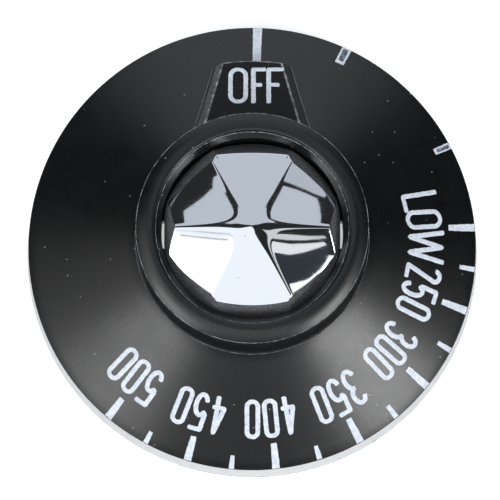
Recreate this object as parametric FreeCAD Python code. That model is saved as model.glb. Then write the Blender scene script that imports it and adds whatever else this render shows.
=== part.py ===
import FreeCAD, Part
import os
from math import cos, hypot, radians, sin, sqrt, tan

from FreeCAD import Vector

# Oven control knob, lying on the back of its rim. Millimetres and degrees.
# +Z is the knob's axis towards the user, +Y points to the OFF mark.

# Dial skirt
dial_radius = 31.75
rim_height = 6.0
rim_lean = 0.45
rim_edge_bevel = 0.3
rim_wall = 2.3
skirt_rise = 8.2
skirt_wall = 2.2

# Collar that the fingers grip, with the well for the cap
well_radius = 12.4
well_depth = 7.0
lip_width = 0.65
lip_drop = 0.8
crown_width = 2.05
crown_height = 0.4
collar_thickness = 3.5
collar_lean = 0.1
collar_rise = 9.8
collar_edge_bevel = 0.25
base_land_width = 0.25
base_land_height = 0.12
floor_thickness = 2.2
under_collar_wall = 2.3

# Raised pad behind the OFF mark
pad_setback = 5.3
pad_height = 1.7
pad_slope = 25.5
pad_end_half_width = 4.25
pad_flare = 14.5
pad_side_slope = 45.0
pad_root_depth = 3.2
pad_edge_round = 0.25

# Hub with its D socket for the shaft
shaft_diameter = 6.35
shaft_flat_distance = 2.38
shaft_clearance = 0.05
hub_wall = 3.3
hub_draft = 1.2
hub_setback = 1.0
socket_end_wall = 3.0
socket_lead_in = 0.5

# Ribs between the hub and the skirt
rib_count = 4
rib_first_angle = 45.0
rib_thickness = 1.6
rib_setback = 4.0
rib_end_gap = 6.4

# Fluted cap
cap_clearance = 0.15
cap_draft = 2.5
cap_apex_proud = 1.3
dome_radius = 40.0
flute_slope = 12.5
flute_curve = 65.0
flute_section = 24.0
flute_lift = 0.3
tip_angle = 63.0
shoulder_angle = 41.5
shoulder_inset = 1.7
shoulder_slope = 60.0
end_shoulder_inset = 1.8
end_flat_inset = 0.3
cap_wall = 1.6
cap_crown_wall = 2.2
cap_skirt_wall = 2.2
vault_radius = 4.5

# Snap legs of the cap, and the windows in the floor that take them
leg_thickness = 1.2
leg_width = 3.2
leg_root = 1.5
hook_reach = 0.85
hook_height = 1.6
hook_clearance = 0.1
window_play = 0.25
window_end_play = 0.3
window_relief = 0.5

# Leaf spring at the flat of the socket
pocket_width = 3.6
pocket_depth = 1.0
pocket_mouth_web = 1.2
pocket_end_web = 1.4
spring_thickness = 0.35
spring_clearance = 0.15
spring_bow = 0.25

AXIS = Vector(0, 0, 1)
ORIGIN = Vector(0, 0, 0)
FULL_TURN = 360.0
OVERRUN = 5.0
SNAP = 1e-4

front_radius = dial_radius - rim_lean
inner_rim_radius = dial_radius - rim_wall
collar_radius = well_radius + collar_thickness
mid_collar_radius = well_radius + collar_thickness / 2
lip_radius = well_radius + lip_width
under_collar_radius = collar_radius - under_collar_wall
pad_reach = front_radius - pad_setback
skirt_tangent = skirt_rise / (front_radius - collar_radius)
skirt_wall_upright = skirt_wall * hypot(1, skirt_tangent)
collar_top = rim_height + skirt_rise + collar_rise
collar_edge_z = collar_top - crown_height
floor_top = collar_top - well_depth
floor_bottom = floor_top - floor_thickness

bore_radius = shaft_diameter / 2 + shaft_clearance
bore_flat = shaft_flat_distance + shaft_clearance
hub_radius = bore_radius + hub_wall
socket_top = floor_top - socket_end_wall
pocket_low = hub_setback + pocket_mouth_web
pocket_high = socket_top - pocket_end_web

cap_radius = well_radius - cap_clearance
shoulder_distance = cap_radius - shoulder_inset
end_shoulder_distance = cap_radius - end_shoulder_inset
end_flat_distance = cap_radius - end_flat_inset
apex_z = collar_top + cap_apex_proud
dome_centre_z = apex_z - dome_radius
flute_setback = flute_curve * sin(radians(flute_slope))
flute_centre_z = apex_z + flute_lift - flute_curve * cos(radians(flute_slope))
shoulder_rise = tan(radians(shoulder_slope))
leg_inner = end_flat_distance - leg_thickness


def skirt_z(radius):
    """Height of the skirt's outer face."""
    return rim_height + (front_radius - radius) * skirt_tangent


def under_skirt_z(radius):
    """Height of the skirt's inner face."""
    return skirt_z(radius) - skirt_wall_upright


def flute_z(along, across):
    """Height of a flute at a place along and across it, both from the knob's axis."""
    ring = flute_curve + flute_section - sqrt(flute_section ** 2 - across ** 2)
    return flute_centre_z + sqrt(ring ** 2 - (along + flute_setback) ** 2)


def at(radius, z):
    """Point of a half section."""
    return Vector(radius, 0, z)


def line(start, end):
    return Part.LineSegment(start, end).toShape()


def arc(start, through, end):
    return Part.Arc(start, through, end).toShape()


def chain(points):
    return [line(a, b) for a, b in zip(points, points[1:])]


def bevelled_chain(before, corner, after, bevel):
    """Two lines that meet in a small bevel."""
    start = corner + (before - corner).normalize() * bevel
    end = corner + (after - corner).normalize() * bevel
    return chain([before, start, end, after])


def face_of(points):
    return Part.Face(Part.Wire(chain(points)))


def turned(edges):
    """Solid of revolution about the knob's axis from a closed half section."""
    return Part.Face(Part.Wire(edges)).revolve(ORIGIN, AXIS, FULL_TURN)


def about_axis(shape, angle):
    copy = shape.copy()
    copy.rotate(ORIGIN, AXIS, angle)
    return copy


def block(low, high):
    """Box between two corners."""
    size = high - low
    return Part.makeBox(size.x, size.y, size.z, low)


def mirrored(shape):
    """The same shape on the 9 o'clock side."""
    return shape.mirror(ORIGIN, Vector(1, 0, 0))


# Outer form of the dial: rim, skirt, collar and well

def dial_blank():
    land_radius = collar_radius + base_land_width
    land_z = skirt_z(land_radius) + base_land_height
    lip = at(lip_radius, collar_edge_z)
    crown_top = at(lip_radius + crown_width / 2, collar_top)
    crown_foot = at(lip_radius + crown_width, collar_edge_z)
    land = at(land_radius, skirt_z(land_radius))
    well = chain([at(0, 0), at(0, floor_top), at(well_radius, floor_top),
                  at(well_radius, collar_edge_z - lip_drop), lip])
    collar_side = at(collar_radius, land_z)
    collar_edge = bevelled_chain(crown_foot, at(collar_radius - collar_lean, collar_edge_z), collar_side,
                                 collar_edge_bevel)
    step = chain([collar_side, at(land_radius, land_z), land])
    rim = bevelled_chain(land, at(front_radius, rim_height), at(dial_radius, 0), rim_edge_bevel)
    back = chain([at(dial_radius, 0), at(0, 0)])
    return turned(well + [arc(lip, crown_top, crown_foot)] + collar_edge + step + rim + back)


def off_pad():
    """Flared pad with sloping sides and a round end, rooted in the skirt and the collar."""
    end_top = skirt_z(pad_reach) + pad_height
    spread = pad_root_depth * tan(radians(pad_side_slope))

    def section(y):
        inward = pad_reach - y
        half = pad_end_half_width + inward * tan(radians(pad_flare))
        top = end_top + inward * tan(radians(pad_slope))
        foot = top - pad_root_depth
        return Part.makePolygon([Vector(-half, y, top), Vector(half, y, top), Vector(half + spread, y, foot),
                                 Vector(-half - spread, y, foot), Vector(-half, y, top)])

    ring = Part.makeCylinder(pad_reach, collar_top).cut(Part.makeCylinder(mid_collar_radius, collar_top))
    pad = Part.makeLoft([section(well_radius / 2), section(pad_reach + OVERRUN)], True, True)
    pad = pad.common(ring).Solids[0]
    top_face = max(pad.Faces, key=lambda face: face.normalAt(0, 0).z)
    rim = [edge for edge in top_face.Edges
           if max(hypot(v.X, v.Y) for v in edge.Vertexes) > mid_collar_radius + SNAP]
    return pad.makeFillet(pad_edge_round, rim)


# Underside of the dial: hollow skirt, hub, ribs and windows

def skirt_hollow():
    """Space under the skirt and under the floor of the well."""
    return turned(chain([at(0, -OVERRUN), at(0, floor_bottom), at(under_collar_radius, floor_bottom),
                         at(under_collar_radius, under_skirt_z(under_collar_radius)),
                         at(inner_rim_radius, under_skirt_z(inner_rim_radius)),
                         at(inner_rim_radius, -OVERRUN), at(0, -OVERRUN)]))


def hub():
    length = floor_bottom - hub_setback + floor_thickness / 2
    root_radius = hub_radius + length * tan(radians(hub_draft))
    return Part.makeCone(hub_radius, root_radius, length, Vector(0, 0, hub_setback))


def rib(hollow):
    """Upright web from the hub out to the skirt, trimmed by the hollow that it stands in."""
    foot_end = hub_radius + rib_thickness
    reach = inner_rim_radius - rib_end_gap
    web = face_of([at(bore_radius + hub_wall / 2, rib_setback), at(foot_end, rib_setback),
                   at(reach, under_skirt_z(reach)), at(reach, collar_top),
                   at(bore_radius + hub_wall / 2, collar_top), at(bore_radius + hub_wall / 2, rib_setback)])
    web = web.extrude(Vector(0, rib_thickness, 0))
    web.translate(Vector(0, -rib_thickness / 2, 0))
    return web.common(hollow)


def leg_window():
    half = leg_width / 2 + window_end_play
    return block(Vector(leg_inner - window_play, -half, floor_bottom - floor_thickness),
                 Vector(well_radius + window_relief, half, floor_top))


def shaft_socket():
    """D bore with a lead-in at its mouth."""
    mouth = Vector(0, 0, hub_setback)
    bore = Part.makeCylinder(bore_radius, socket_top - hub_setback, mouth)
    wide = 2 * bore_radius
    bore = bore.common(block(Vector(-wide, -bore_flat, hub_setback), Vector(wide, wide, socket_top)))
    return bore.fuse(Part.makeCone(bore_radius + socket_lead_in, bore_radius, socket_lead_in, mouth))


def spring_pocket():
    """Recess in the flat of the socket, closed at both ends."""
    half = pocket_width / 2
    return block(Vector(-half, -bore_flat - pocket_depth, pocket_low), Vector(half, 0, pocket_high))


def dial_body():
    hollow = skirt_hollow()
    ribs = [about_axis(rib(hollow), rib_first_angle + n * FULL_TURN / rib_count) for n in range(rib_count)]
    body = dial_blank().fuse(off_pad()).cut(hollow).fuse([hub()] + ribs)
    return body.cut([shaft_socket(), spring_pocket(), leg_window(), mirrored(leg_window())]).removeSplitter()


# Fluted cap that stands in the collar

def cap_blank():
    """Tapered plug with a domed top."""
    height = apex_z - floor_top
    foot_radius = cap_radius - height * tan(radians(cap_draft))
    plug = Part.makeCone(foot_radius, cap_radius, height, Vector(0, 0, floor_top))
    seam_below = Vector(-1, 0, 0)
    return plug.common(Part.makeSphere(dome_radius, Vector(0, 0, dome_centre_z), seam_below))


def flute(angle):
    """Ring whose inner side scoops a trough that falls away from the apex."""
    centre = Vector(-flute_setback, 0, flute_centre_z)
    ring = Part.makeTorus(flute_curve + flute_section, flute_section, centre, Vector(0, 1, 0))
    return about_axis(ring, angle)


def side_cut(distance, edge_z, flat_distance):
    """What a sloping shoulder with a flat below it takes off at 3 o'clock."""
    wide = 2 * cap_radius
    top = edge_z + OVERRUN
    flat_top = edge_z - (flat_distance - distance) * shoulder_rise
    start = at(distance - OVERRUN / shoulder_rise, top)
    cut = face_of([start, at(flat_distance, flat_top), at(flat_distance, 0), at(wide, 0), at(wide, top),
                   start])
    cut = cut.extrude(Vector(0, 2 * wide, 0))
    cut.translate(Vector(0, -wide, 0))
    return cut


def cap_hollow():
    """Inside of the cap: a straight bore under a tapered vault."""
    bore_edge = cap_radius - cap_skirt_wall
    bore_top = flute_z(shoulder_distance, 0) - cap_wall
    vault_top = apex_z - cap_crown_wall
    return turned(chain([at(0, floor_top), at(bore_edge, floor_top), at(bore_edge, bore_top),
                         at(vault_radius, vault_top), at(0, vault_top), at(0, floor_top)]))


def snap_leg():
    """Leg at 3 o'clock with a hook that turns in under the floor of the well."""
    hook_top = floor_bottom - hook_clearance
    tip = hook_top - hook_height
    root = floor_top + leg_root
    leg = face_of([at(leg_inner, root), at(leg_inner, hook_top), at(leg_inner - hook_reach, hook_top),
                   at(leg_inner, tip), at(end_flat_distance, tip), at(end_flat_distance, root),
                   at(leg_inner, root)])
    leg = leg.extrude(Vector(0, leg_width, 0))
    leg.translate(Vector(0, -leg_width / 2, 0))
    return leg


def centre_cap():
    half_turn = FULL_TURN / 2
    quarter_turn = FULL_TURN / 4

    def all_round(angle):
        """12 and 6 o'clock, then an angle to both sides of 3 and 9 o'clock."""
        upper_and_lower = [quarter_turn, -quarter_turn]
        return upper_and_lower + [end + sign * angle for end in (0, half_turn) for sign in (1, -1)]

    half_tip = radians(tip_angle / 2)
    ridge_end_z = flute_z(end_shoulder_distance * cos(half_tip), end_shoulder_distance * sin(half_tip))
    shoulder_side = side_cut(shoulder_distance, flute_z(shoulder_distance, 0), cap_radius + OVERRUN)
    end_side = side_cut(end_shoulder_distance, ridge_end_z, end_flat_distance)
    cap = cap_blank()
    for flute_angle, side_angle in zip(all_round(tip_angle / 2), all_round(shoulder_angle)):
        cap = cap.cut(flute(flute_angle)).cut(about_axis(shoulder_side, side_angle))
    cap = cap.cut([end_side, mirrored(end_side), cap_hollow()])
    return cap.fuse([snap_leg(), mirrored(snap_leg())]).removeSplitter()


# Leaf spring bowed towards the shaft

def shaft_spring():
    low = pocket_low + spring_clearance
    high = pocket_high - spring_clearance
    middle = (low + high) / 2
    width = pocket_width - 2 * spring_clearance
    back = -bore_flat - pocket_depth
    crest = -bore_flat + spring_bow

    def point(y, z):
        return Vector(-width / 2, y, z)

    behind = arc(point(back, low), point(crest - spring_thickness, middle), point(back, high))
    front_y = back + spring_thickness
    top_end = line(point(back, high), point(front_y, high))
    front = arc(point(front_y, high), point(crest, middle), point(front_y, low))
    low_end = line(point(front_y, low), point(back, low))
    return Part.Face(Part.Wire([behind, top_end, front, low_end])).extrude(Vector(width, 0, 0))


os.makedirs("parts", exist_ok=True)
nodes = {"dial_body": dial_body(), "centre_cap": centre_cap(), "shaft_spring": shaft_spring()}
for name, shape in nodes.items():
    shape.exportStep("parts/" + name + ".step")
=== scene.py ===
from math import atan, cos, hypot, pi, radians, sin, sqrt, tan

import bmesh
import bpy
import numpy as np
from mathutils import Matrix, Vector


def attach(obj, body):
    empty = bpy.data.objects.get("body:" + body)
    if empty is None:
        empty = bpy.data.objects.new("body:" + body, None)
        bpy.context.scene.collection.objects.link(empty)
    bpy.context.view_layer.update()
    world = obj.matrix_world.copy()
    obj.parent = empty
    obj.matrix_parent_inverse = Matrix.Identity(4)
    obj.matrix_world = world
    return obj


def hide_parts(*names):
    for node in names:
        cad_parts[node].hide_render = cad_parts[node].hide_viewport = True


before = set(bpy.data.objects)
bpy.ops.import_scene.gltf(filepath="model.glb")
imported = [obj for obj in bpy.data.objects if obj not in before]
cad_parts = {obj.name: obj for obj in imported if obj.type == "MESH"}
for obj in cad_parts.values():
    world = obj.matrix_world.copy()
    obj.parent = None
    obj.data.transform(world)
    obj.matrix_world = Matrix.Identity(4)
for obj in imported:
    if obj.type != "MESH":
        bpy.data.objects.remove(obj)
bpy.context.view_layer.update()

MM = 0.001
FULL_TURN = 2 * pi

# Oven control knob, sizes in millimetres. +Z is the axis, +Y points to OFF.
dial_radius = 31.75
front_radius = 31.3
rim_height = 6.0
inner_rim_radius = 29.45
collar_radius = 15.9
skirt_rise = 8.2
skirt_wall = 2.2
well_radius = 12.4
lip_radius = 13.05
lip_depth = 0.8
collar_top = 24.0
collar_edge_z = 23.6
collar_outer_z = 23.32
land_width = 0.25
land_height = 0.12
floor_top = 17.0
floor_bottom = 14.8
under_collar_radius = 13.6
root_in_floor = 15.9
cut_overlap = 0.01

skirt_tangent = skirt_rise / (front_radius - collar_radius)
skirt_angle = atan(skirt_tangent)
skirt_wall_upright = skirt_wall * hypot(1, skirt_tangent)

ROUND_STEPS = 5
DIAL_SEGMENTS = 288


def skirt_z(radius):
    """Height of the skirt's outer face."""
    return rim_height + (front_radius - radius) * skirt_tangent


def under_skirt_z(radius):
    """Height of the skirt's inner face."""
    return skirt_z(radius) - skirt_wall_upright


# Meshes

weld_distance = 1e-7


def mesh_object(name, points, faces):
    """Object with its place in the mesh, from points in millimetres."""
    mesh = bpy.data.meshes.new(name)
    mesh.from_pydata([Vector(p) * MM for p in points], [], faces)
    made = bpy.data.objects.new(name, mesh)
    bpy.context.scene.collection.objects.link(made)
    return made


def cleaned(piece, sharp_angle):
    """Merges doubles, turns normals outward and sets smooth shading with sharp edges above an angle."""
    work = bmesh.new()
    work.from_mesh(piece.data)
    bmesh.ops.remove_doubles(work, verts=work.verts, dist=weld_distance)
    bmesh.ops.dissolve_degenerate(work, edges=work.edges, dist=weld_distance)
    bmesh.ops.recalc_face_normals(work, faces=work.faces)
    work.to_mesh(piece.data)
    work.free()
    piece.data.shade_smooth()
    piece.data.set_sharp_from_angle(angle=sharp_angle)
    return piece


def settled(piece):
    """Turns what the modifiers make into the piece's own plain mesh."""
    view = bpy.context.evaluated_depsgraph_get()
    mesh = bpy.data.meshes.new_from_object(piece.evaluated_get(view))
    name = piece.name
    if piece.type == "MESH":
        piece.modifiers.clear()
        piece.data = mesh
        return piece
    bpy.data.objects.remove(piece)
    made = bpy.data.objects.new(name, mesh)
    bpy.context.scene.collection.objects.link(made)
    return made


def combined(piece, tool, operation):
    """Unites a piece with a tool or cuts the tool out of it; the tool is used up."""
    step = piece.modifiers.new(operation, "BOOLEAN")
    step.operation = operation
    step.object = tool
    step.solver = "EXACT"
    settled(piece)
    bpy.data.objects.remove(tool)
    return piece


def joined(name, pieces):
    """One object from several with the same material; the pieces are used up."""
    work = bmesh.new()
    for piece in pieces:
        work.from_mesh(piece.data)
    mesh = bpy.data.meshes.new(name)
    work.to_mesh(mesh)
    work.free()
    for material in pieces[0].data.materials:
        mesh.materials.append(material)
    for piece in pieces:
        bpy.data.objects.remove(piece)
    made = bpy.data.objects.new(name, mesh)
    bpy.context.scene.collection.objects.link(made)
    return made


def rounded(corners):
    """Outline of (radius, height, rounding) corners as plain points."""
    points = []
    for n, (radius, z, rounding) in enumerate(corners):
        corner = Vector((radius, z))
        if not rounding:
            points.append((radius, z))
            continue
        before = (Vector(corners[n - 1][:2]) - corner).normalized()
        after = (Vector(corners[n + 1][:2]) - corner).normalized()
        half = before.angle(after) / 2
        centre = corner + (before + after).normalized() * rounding / sin(half)
        start = corner + before * rounding / tan(half)
        end = corner + after * rounding / tan(half)
        for step in range(ROUND_STEPS + 1):
            way = start.lerp(end, step / ROUND_STEPS) - centre
            points.append(tuple(centre + way.normalized() * rounding))
    return points


def spun(name, section, segments=DIAL_SEGMENTS):
    """Solid of revolution; section points on the axis become poles."""
    turns = [FULL_TURN * n / segments for n in range(segments)]
    points, rings, faces = [], [], []
    for radius, z in section:
        if radius == 0:
            rings.append([len(points)] * segments)
            points.append((0, 0, z))
            continue
        rings.append(list(range(len(points), len(points) + segments)))
        points += [(radius * cos(turn), radius * sin(turn), z) for turn in turns]
    for low, high in zip(rings, rings[1:]):
        for n in range(segments):
            m = (n + 1) % segments
            face = list(dict.fromkeys([low[n], low[m], high[m], high[n]]))
            if len(face) > 2:
                faces.append(face)
    return cleaned(mesh_object(name, points, faces), pi)


def between(name, first, second):
    """Closed solid between two outlines with the same number of points."""
    count = len(first)
    ends = [list(range(count)), list(range(count, 2 * count))]
    sides = [[n, (n + 1) % count, (n + 1) % count + count, n + count] for n in range(count)]
    return mesh_object(name, first + second, ends + sides)


def prism(name, outline, low, high):
    """Straight solid over an outline in plan, between two heights."""
    return cleaned(between(name, [(x, y, low) for x, y in outline], [(x, y, high) for x, y in outline]), pi)


def box(name, low, high):
    """Straight block between two corners."""
    outline = [(low[0], low[1]), (high[0], low[1]), (high[0], high[1]), (low[0], high[1])]
    return prism(name, outline, low[2], high[2])


# Finishes by their place on a piece

DIAL_FINISHES = 6
BLACK_FACE, RIM_SIDE, EDGE_HIGHLIGHT_FINISH, PAD_FACE, LEFT_WALL, RIGHT_WALL = range(DIAL_FINISHES)
CAP_FINISHES = 2
BRIGHT_FACE, SHOULDER = range(CAP_FINISHES)


def empty_slots(piece, count):
    """Places for finishes, filled once the piece is whole."""
    for _ in range(count):
        piece.data.materials.append(None)


# Dial body: skirt, rim, collar and well

land_radius = collar_radius + land_width
land_z = skirt_z(land_radius) + land_height
crown_middle = lip_radius + 1.025
crown_end = collar_radius - 0.18
crown_steps = 32
inner_crown_power = 5
outer_crown_power = 1.4
outer_edge_radius = collar_radius - 0.1
outer_edge_drop = 0.06
skirt_steps = 12
fine_round = 0.05
well_round = 0.12
land_top_round = 0.04
land_foot_round = 0.03
rim_front_round = 0.22
rim_back_round = 0.1
inner_rim_round = 0.15
under_skirt_round = 0.6
under_collar_round = 0.4


def crown_z(radius):
    """Top of the collar: it drops fast at the lip and slowly towards the outer edge."""
    if radius < crown_middle:
        share = (crown_middle - radius) / (crown_middle - lip_radius)
        return collar_top - (collar_top - collar_edge_z) * share ** inner_crown_power
    share = (radius - crown_middle) / (crown_end - crown_middle)
    return collar_top - (collar_top - collar_outer_z) * share ** outer_crown_power


def dial_section():
    """Half section, from the middle of the well's floor over the collar, skirt and rim to the underside."""
    crown = [lip_radius + (crown_end - lip_radius) * n / crown_steps for n in range(1, crown_steps)]
    skirt = [land_radius + (front_radius - land_radius) * n / skirt_steps for n in range(1, skirt_steps)]
    return rounded(
        [(0, floor_top, 0), (well_radius, floor_top, 0), (well_radius, collar_edge_z - lip_depth, well_round),
         (lip_radius, collar_edge_z, fine_round)]
        + [(radius, crown_z(radius), 0) for radius in crown]
        + [(crown_end, collar_outer_z, 0), (outer_edge_radius, collar_outer_z - outer_edge_drop, fine_round),
           (collar_radius, land_z, fine_round), (land_radius, land_z, land_top_round),
           (land_radius, skirt_z(land_radius), land_foot_round)]
        + [(radius, skirt_z(radius), 0) for radius in skirt]
        + [(front_radius, rim_height, rim_front_round), (dial_radius, 0, rim_back_round),
           (inner_rim_radius, 0, inner_rim_round),
           (inner_rim_radius, under_skirt_z(inner_rim_radius), under_skirt_round),
           (under_collar_radius, under_skirt_z(under_collar_radius), under_collar_round),
           (under_collar_radius, floor_bottom, under_collar_round), (0, floor_bottom, 0)])


# Painted highlight: a pale line is painted on these rounded edges where light would catch them.
highlight_half_width = 0.06
lip_highlight_depth = 0.12
outer_highlight_inset = 0.14
outer_highlight_drop = 0.05
outer_highlight_half_height = 0.12
land_highlight_offset = 0.22
land_highlight_lift = 0.05
collar_wall_z = collar_edge_z - 4


def on_highlit_ring(out, z):
    """True on the rounded edges of the collar and of the land at its foot, where a pale line is painted as
    their highlight.
    """
    lip = abs(out - lip_radius) < highlight_half_width and z > collar_edge_z - lip_highlight_depth
    outer_edge = (abs(out - collar_radius + outer_highlight_inset) < highlight_half_width
                  and abs(z - collar_outer_z + outer_highlight_drop) < outer_highlight_half_height)
    land_edge = (abs(out - collar_radius - land_highlight_offset) < highlight_half_width
                 and skirt_z(out) + land_highlight_lift < z < collar_wall_z)
    return lip or outer_edge or land_edge


# Dial body: raised pad behind OFF

pad_reach = 25.6
pad_inner_radius = well_radius + 1.75
pad_slope = radians(25.5)
pad_height = 1.7
pad_end_half_width = 4.05
pad_flare = radians(14.5)
pad_root_depth = 3.2
pad_side_run = 0.66
pad_edge_round = 0.2
pad_edge_steps = 4
pad_arc_steps = 16
pad_corner_tries = 30
pad_sharp_angle = radians(32)
side_facing = 0.3


def pad_top_z(y):
    """Height of the pad's sloping top."""
    return skirt_z(pad_reach) + pad_height + (pad_reach - y) * tan(pad_slope)


def pad_outline(extra, depth):
    """Flared outline with a round end, wider by extra on each side and lower by depth than the top."""
    def half_width(y):
        return pad_end_half_width + extra + (pad_reach - y) * tan(pad_flare)

    points = []
    for radius, side in ((pad_reach, 1), (pad_inner_radius, -1)):
        y = radius
        for _ in range(pad_corner_tries):
            y = sqrt(radius ** 2 - half_width(y) ** 2)
        edge = atan(half_width(y) / y)
        for step in range(pad_arc_steps + 1):
            turn = edge * (1 - 2 * step / pad_arc_steps)
            points.append((radius * sin(side * turn), radius * cos(turn)))
    return [(x, y, pad_top_z(y) - depth) for x, y in points]


def off_pad():
    """Flared raised pad with sloping sides, a round end and softened top edges."""
    top = pad_outline(0.0, 0.0)
    pad = between("off_pad", top, pad_outline(pad_root_depth * pad_side_run, pad_root_depth))
    work = bmesh.new()
    work.from_mesh(pad.data)
    top_edges = [edge for edge in work.edges if all(spot.index < len(top) for spot in edge.verts)
                 and any(spot.index <= pad_arc_steps for spot in edge.verts)]
    bmesh.ops.recalc_face_normals(work, faces=work.faces)
    # Painted highlight: the rounded top edges of the pad get the pale edge finish.
    bmesh.ops.bevel(work, geom=top_edges, offset=pad_edge_round * MM, segments=pad_edge_steps, profile=0.5,
                    affect="EDGES", material=EDGE_HIGHLIGHT_FINISH)
    work.to_mesh(pad.data)
    work.free()
    empty_slots(pad, DIAL_FINISHES)
    cleaned(pad, pad_sharp_angle)
    for face in pad.data.polygons:
        if face.material_index == EDGE_HIGHLIGHT_FINISH:
            continue
        if face.normal.x < -side_facing:
            face.material_index = LEFT_WALL
        elif face.normal.x > side_facing:
            face.material_index = RIGHT_WALL
        else:
            face.material_index = PAD_FACE
    return pad


# Dial body: hub, ribs, socket and windows

hub_radius = 6.525
hub_setback = 1.0
hub_draft = radians(1.2)
hub_round = 0.3
hub_segments = 128
rib_count = 4
rib_half_width = 0.8
rib_inner = 4.9
rib_back_z = 4.0
rib_level_end = 8.1
rib_reach = inner_rim_radius - 6.4
rib_step_radius = 14.4
rib_root = 1.2
bore_radius = 3.225
bore_flat = 2.43
bore_steps = 64
socket_low = 0.5
socket_top = 14.0
lead_in_low = 0.8
lead_in_high = 1.51
lead_in_flare = 0.7
lead_in_segments = 96
pocket_half_width = 1.8
pocket_depth = 1.0
pocket_low = 2.2
pocket_high = 12.6
window_inner = 10.5
window_outer = 12.9
window_half_width = 1.9
window_low = 12.6
window_high = floor_top + 0.02
dial_sharp_angle = radians(25)


def rib(angle):
    """Upright web from the hub to the skirt; its top ends inside the walls."""
    web = [(rib_inner, rib_back_z), (rib_level_end, rib_back_z), (rib_reach, under_skirt_z(rib_reach)),
           (rib_reach, under_skirt_z(rib_reach) + rib_root),
           (rib_step_radius, under_skirt_z(rib_step_radius) + rib_root), (rib_step_radius, root_in_floor),
           (rib_inner, root_in_floor)]

    def side(y):
        return [(x * cos(angle) - y * sin(angle), x * sin(angle) + y * cos(angle), z) for x, z in web]

    return cleaned(between("rib", side(-rib_half_width), side(rib_half_width)), pi)


def socket_outline():
    """Round bore with a flat towards -Y."""
    edge = atan(sqrt(bore_radius ** 2 - bore_flat ** 2) / bore_flat)
    turns = [pi + edge + (FULL_TURN - 2 * edge) * n / bore_steps for n in range(bore_steps + 1)]
    return [(bore_radius * sin(turn), bore_radius * cos(turn)) for turn in turns]


def window(side):
    """Opening in the well's floor for a snap leg."""
    near, far = sorted((side * window_inner, side * window_outer))
    return box("window", (near, -window_half_width, window_low), (far, window_half_width, window_high))


def dial_body():
    """The black moulding in one piece, with the D-shaped socket and the spring's pocket."""
    body = spun("dial", dial_section())
    empty_slots(body, DIAL_FINISHES)
    hub_root = hub_radius + (root_in_floor - hub_setback) * tan(hub_draft)
    hub = spun("hub", rounded([(0, hub_setback, 0), (hub_radius, hub_setback, hub_round),
                               (hub_root, root_in_floor, 0), (0, root_in_floor, 0)]), hub_segments)
    ribs = [rib(FULL_TURN * (n + 0.5) / rib_count) for n in range(rib_count)]
    for tool in [off_pad(), hub] + ribs:
        combined(body, tool, "UNION")
    lead_in = spun("lead_in", [(0, lead_in_low), (bore_radius + lead_in_flare, lead_in_low),
                               (bore_radius - cut_overlap, lead_in_high), (0, lead_in_high)],
                   lead_in_segments)
    pocket = box("pocket", (-pocket_half_width, -bore_flat - pocket_depth, pocket_low),
                 (pocket_half_width, 0, pocket_high))
    socket = prism("socket", socket_outline(), socket_low, socket_top)
    for tool in (socket, lead_in, pocket, window(1), window(-1)):
        combined(body, tool, "DIFFERENCE")
    return cleaned(body, dial_sharp_angle)


# Fluted cap

CAP_SEGMENTS = 600
FACE_RINGS = 100
SHOULDER_RINGS = 14
cap_radius = 12.25
apex_z = 25.27
tip_angle = radians(63)
dome_radius = 40.0
dome_centre_z = apex_z - dome_radius
flute_slope = radians(12.5)
flute_curve = 65.0
flute_section = 24.0
flute_lift = 0.3
flute_setback = flute_curve * sin(flute_slope)
flute_centre_z = apex_z + flute_lift - flute_curve * cos(flute_slope)
flute_angles = (pi / 2, -pi / 2, tip_angle / 2, -tip_angle / 2, pi + tip_angle / 2, pi - tip_angle / 2)
ridge_softness = 0.36
edge_softness = 0.07
shoulder_angle = radians(41.5)
shoulder_distance = cap_radius - 1.7
slant_shoulder_distance = cap_radius - 1.45
shoulder_rise = tan(radians(58))
end_shoulder_distance = cap_radius - 1.8
end_flat = cap_radius - 0.3
cap_wall_inset = 0.08
cap_draft = tan(radians(2.5))
cap_foot_radius = cap_radius - (apex_z - floor_top) * cap_draft
cap_bore = cap_radius - 2.2
cap_face_wall = 1.6
cap_crown_wall = 2.2
cap_crown_radius = 4.5
least_share = 1e-6
edge_search_start = 4.0
edge_search_steps = 40
cap_sharp_angle = radians(40)
leg_half_width = 1.6
leg_thickness = 1.2
leg_root = 1.5
hook_gap = 0.1
hook_height = 1.6
hook_reach = 0.85


def soft_lower(first, second, blend):
    """The lower of two heights, with the crease between them rounded."""
    share = np.clip(0.5 + 0.5 * (second - first) / blend, 0, 1)
    return second + (first - second) * share - blend * share * (1 - share)


def flute_height(along, across):
    """One trough: along runs outwards from the axis, across is the distance from the trough's middle."""
    ring = flute_curve + flute_section - np.sqrt(flute_section ** 2 - across ** 2)
    return flute_centre_z + np.sqrt(ring ** 2 - (along + flute_setback) ** 2)


flute_edge_z = flute_height(shoulder_distance, 0)
end_edge_z = flute_height(end_shoulder_distance * cos(tip_angle / 2),
                          end_shoulder_distance * sin(tip_angle / 2))


def face_height(x, y):
    """Dome with six troughs that fall away from the apex."""
    height = dome_centre_z + np.sqrt(dome_radius ** 2 - x * x - y * y)
    for angle in flute_angles:
        along = x * cos(angle) + y * sin(angle)
        across = y * cos(angle) - x * sin(angle)
        height = soft_lower(height, flute_height(along, across), ridge_softness)
    return height


def shoulder_height(x, y):
    """Sloping shoulder round the face: six sides and two ends."""
    height = np.minimum(end_edge_z - (np.abs(x) - end_shoulder_distance) * shoulder_rise,
                        flute_edge_z - (np.abs(y) - shoulder_distance) * shoulder_rise)
    slant = np.abs(x) * cos(shoulder_angle) + np.abs(y) * sin(shoulder_angle)
    return np.minimum(height, flute_edge_z - (slant - slant_shoulder_distance) * shoulder_rise)


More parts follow.
